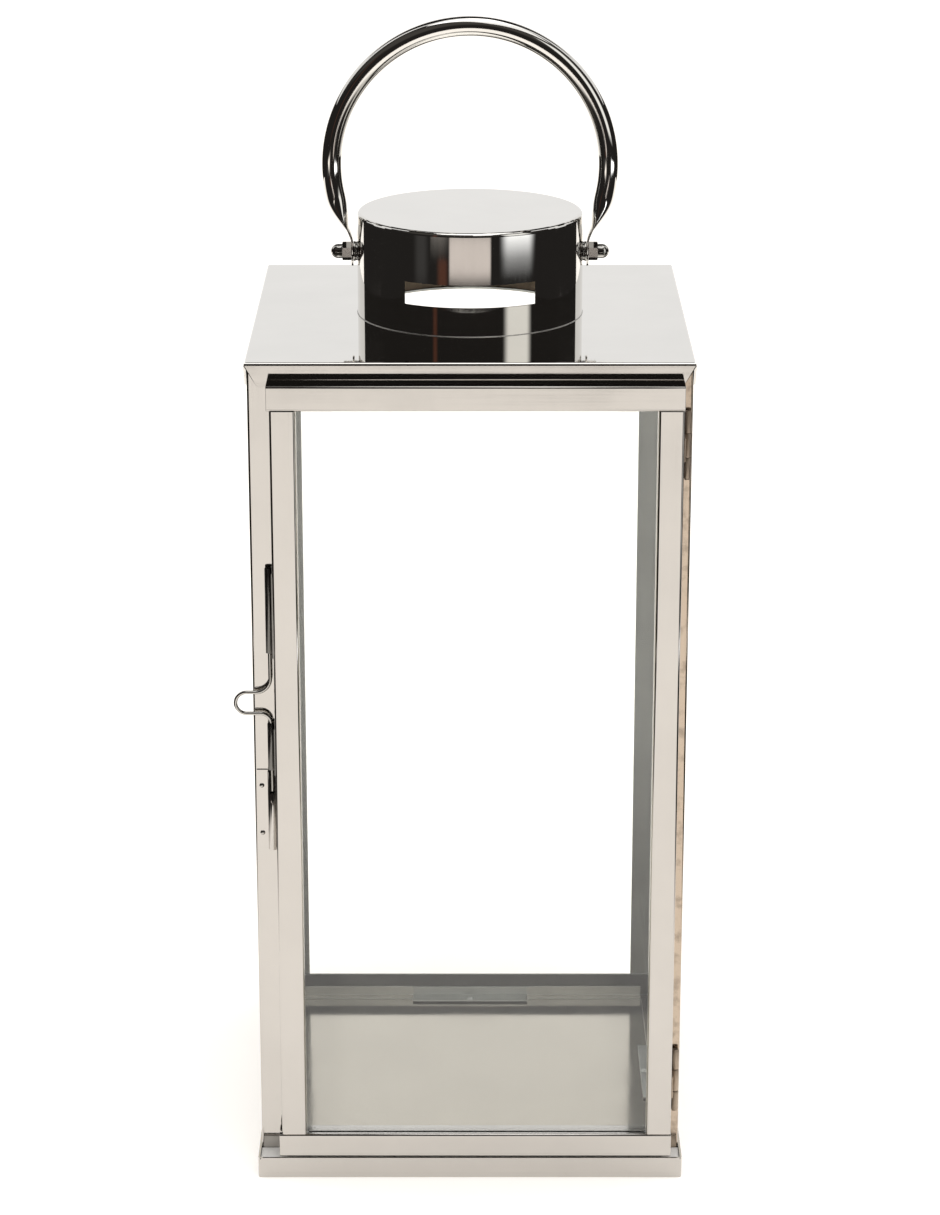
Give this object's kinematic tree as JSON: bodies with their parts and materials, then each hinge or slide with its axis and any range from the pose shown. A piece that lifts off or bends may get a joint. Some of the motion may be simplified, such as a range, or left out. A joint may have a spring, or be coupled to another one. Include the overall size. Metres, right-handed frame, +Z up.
{
  "type": "candle lantern",
  "caption": "Square polished steel candle lantern with glass sides, a hinged glass door with a drop-pin latch, a slotted chimney and a swinging ring handle",
  "frame": {"origin": "on the ground, on the vertical axis of the chimney and of the square body", "axes": "+Z up, +X to the right of someone facing the door, the door faces -Y"},
  "size_m": [0.2179, 0.2226, 0.5565],
  "materials": {
    "polished_steel": "polished",
    "mirror_steel": "mirror polished",
    "hardware_steel": "polished",
    "clear_glass": "clear"
  },
  "bodies": {
    "lantern": {"base_tray": "polished_steel", "door_sill": "polished_steel", "post_front_left": "polished_steel", "post_front_right": "polished_steel", "post_back_right": "polished_steel", "post_back_left": "polished_steel", "bottom_rail_front": "polished_steel", "bottom_rail_right": "polished_steel", "bottom_rail_back": "polished_steel", "bottom_rail_left": "polished_steel", "top_rail_front": "polished_steel", "top_rail_right": "polished_steel", "top_rail_back": "polished_steel", "top_rail_left": "polished_steel", "glass_right": "clear_glass", "glass_back": "clear_glass", "glass_left": "clear_glass", "glass_stop_right": "polished_steel", "glass_stop_back": "polished_steel", "glass_stop_left": "polished_steel", "glass_clip_right": "polished_steel", "glass_clip_back": "polished_steel", "glass_clip_left": "polished_steel", "clip_screws": "hardware_steel", "lid": "mirror_steel", "chimney_wall": "mirror_steel", "chimney_cap": "mirror_steel", "pivot_screws": "hardware_steel", "tooth_washers": "hardware_steel", "flat_washers": "hardware_steel", "cap_nuts": "hardware_steel", "latch_keeper": "hardware_steel", "keeper_rivets": "hardware_steel", "hinge_post_leaf_upper": "hardware_steel", "hinge_post_leaf_lower": "hardware_steel", "hinge_pins": "hardware_steel"},
    "door": {"hinge_door_leaf_upper": "hardware_steel", "hinge_door_leaf_lower": "hardware_steel", "door_stile_left": "polished_steel", "door_stile_right": "polished_steel", "door_rail_top": "polished_steel", "door_rail_bottom": "polished_steel", "door_glass": "clear_glass", "latch_sleeve_upper": "hardware_steel", "latch_sleeve_lower": "hardware_steel"},
    "latch": {"latch_pin": "hardware_steel"},
    "handle": {"handle": "mirror_steel"}
  },
  "joints": [
    {"name": "door_hinge", "type": "hinge", "parent": "lantern", "child": "door", "pos_m": [0.10155, -0.10605, 0.2], "axis": [0, 0, 1], "range_deg": [0, 110]},
    {"name": "latch_lift", "type": "slide", "parent": "door", "child": "latch", "axis": [0, 0, 1], "range_m": [0, 0.0125]},
    {"name": "handle_swing", "type": "hinge", "parent": "lantern", "child": "handle", "pos_m": [0, 0, 0.4424], "axis": [1, 0, 0], "range_deg": [-100, 100]}
  ]
}
